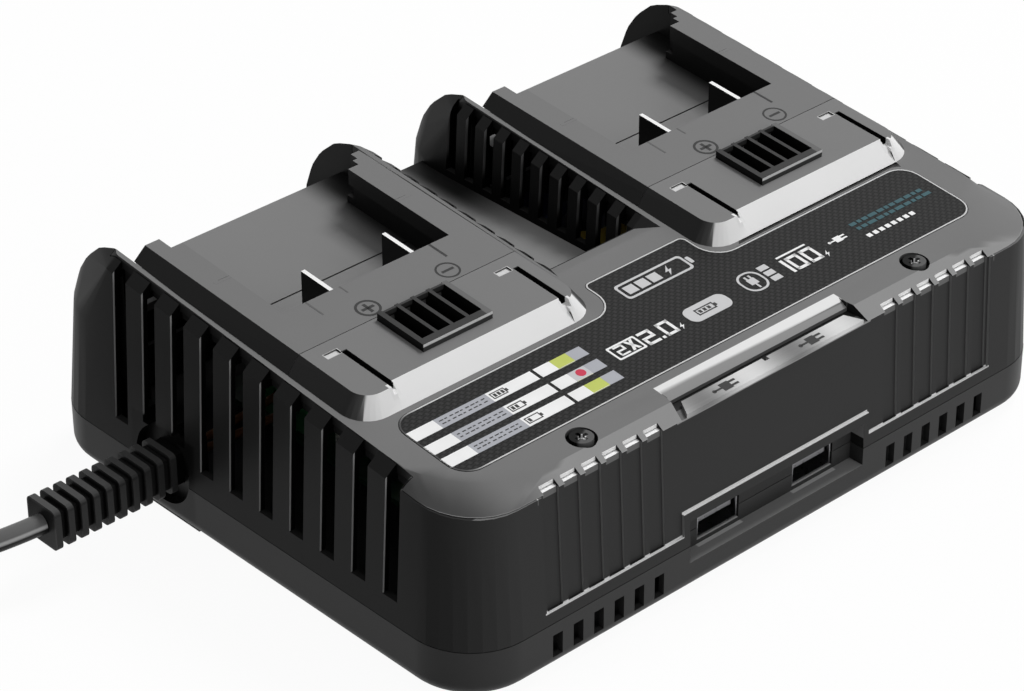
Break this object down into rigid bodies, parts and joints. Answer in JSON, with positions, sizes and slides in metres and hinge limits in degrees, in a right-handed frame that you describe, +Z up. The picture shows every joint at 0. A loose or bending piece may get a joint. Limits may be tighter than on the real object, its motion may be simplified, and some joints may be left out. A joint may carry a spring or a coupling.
{
  "type": "power tool battery charger",
  "caption": "Mains charger for two slide-on power tool batteries, with USB sockets, vented sides, a cooling fan and a coiled mains cord.",
  "frame": {"origin": "centre of the charger's footprint, at the height of the surface it stands on", "axes": "+X to the right along the front, +Y from the front to the back, +Z up"},
  "size_m": [0.3163, 0.2618, 0.0684],
  "materials": {
    "cover": "satin",
    "housing": "satin",
    "base": "satin",
    "tray": "satin",
    "insulator": "matte",
    "contact": "plated",
    "label": "glossy weave",
    "legend": "brushed",
    "light_pipe": "clear",
    "led": "diffuse",
    "board": "solder mask",
    "usb_shell": "plated",
    "terminal": "moulded",
    "winding": "tape",
    "capacitor": "sleeved",
    "heat_sink": "extruded",
    "fuse": "clear",
    "wire": "insulation",
    "fan": "moulded",
    "cord": "flexible PVC",
    "tie": "wrapped",
    "pin": "plated",
    "screw": "blackened",
    "foot": "matte"
  },
  "bodies": {
    "housing": {"base_cover": "base", "main_housing": "housing", "top_cover": "cover", "left_bay_tray": "tray", "right_bay_tray": "tray", "left_terminal_holder": "insulator", "right_terminal_holder": "insulator", "left_power_blades": "contact", "right_power_blades": "contact", "left_signal_block": "insulator", "right_signal_block": "insulator", "left_signal_contacts": "contact", "right_signal_contacts": "contact", "label_plate": "label", "usb_legend_plate": "legend", "light_pipes": "light_pipe", "indicator_board": "board", "status_leds": "led", "left_usb_socket": "usb_shell", "right_usb_socket": "usb_shell", "usb_board": "board", "main_board": "board", "mains_terminal": "terminal", "transformers": "winding", "capacitors": "capacitor", "heat_sinks": "heat_sink", "fuse": "fuse", "mains_wires": "wire", "fan_frame": "fan", "strain_relief": "cord", "cord_lead": "cord", "cord_coil": "cord", "coil_tie": "tie", "mains_plug": "cord", "plug_pins": "pin", "top_screws": "screw", "base_screws": "screw", "board_screws": "screw", "rubber_feet": "foot"},
    "fan_rotor": {"fan_rotor": "fan"}
  },
  "joints": [
    {"name": "fan_spin", "type": "hinge", "parent": "housing", "child": "fan_rotor", "pos_m": [0.0915, -0.0035, 0.0229], "axis": [1, 0, 0], "continuous": true}
  ]
}
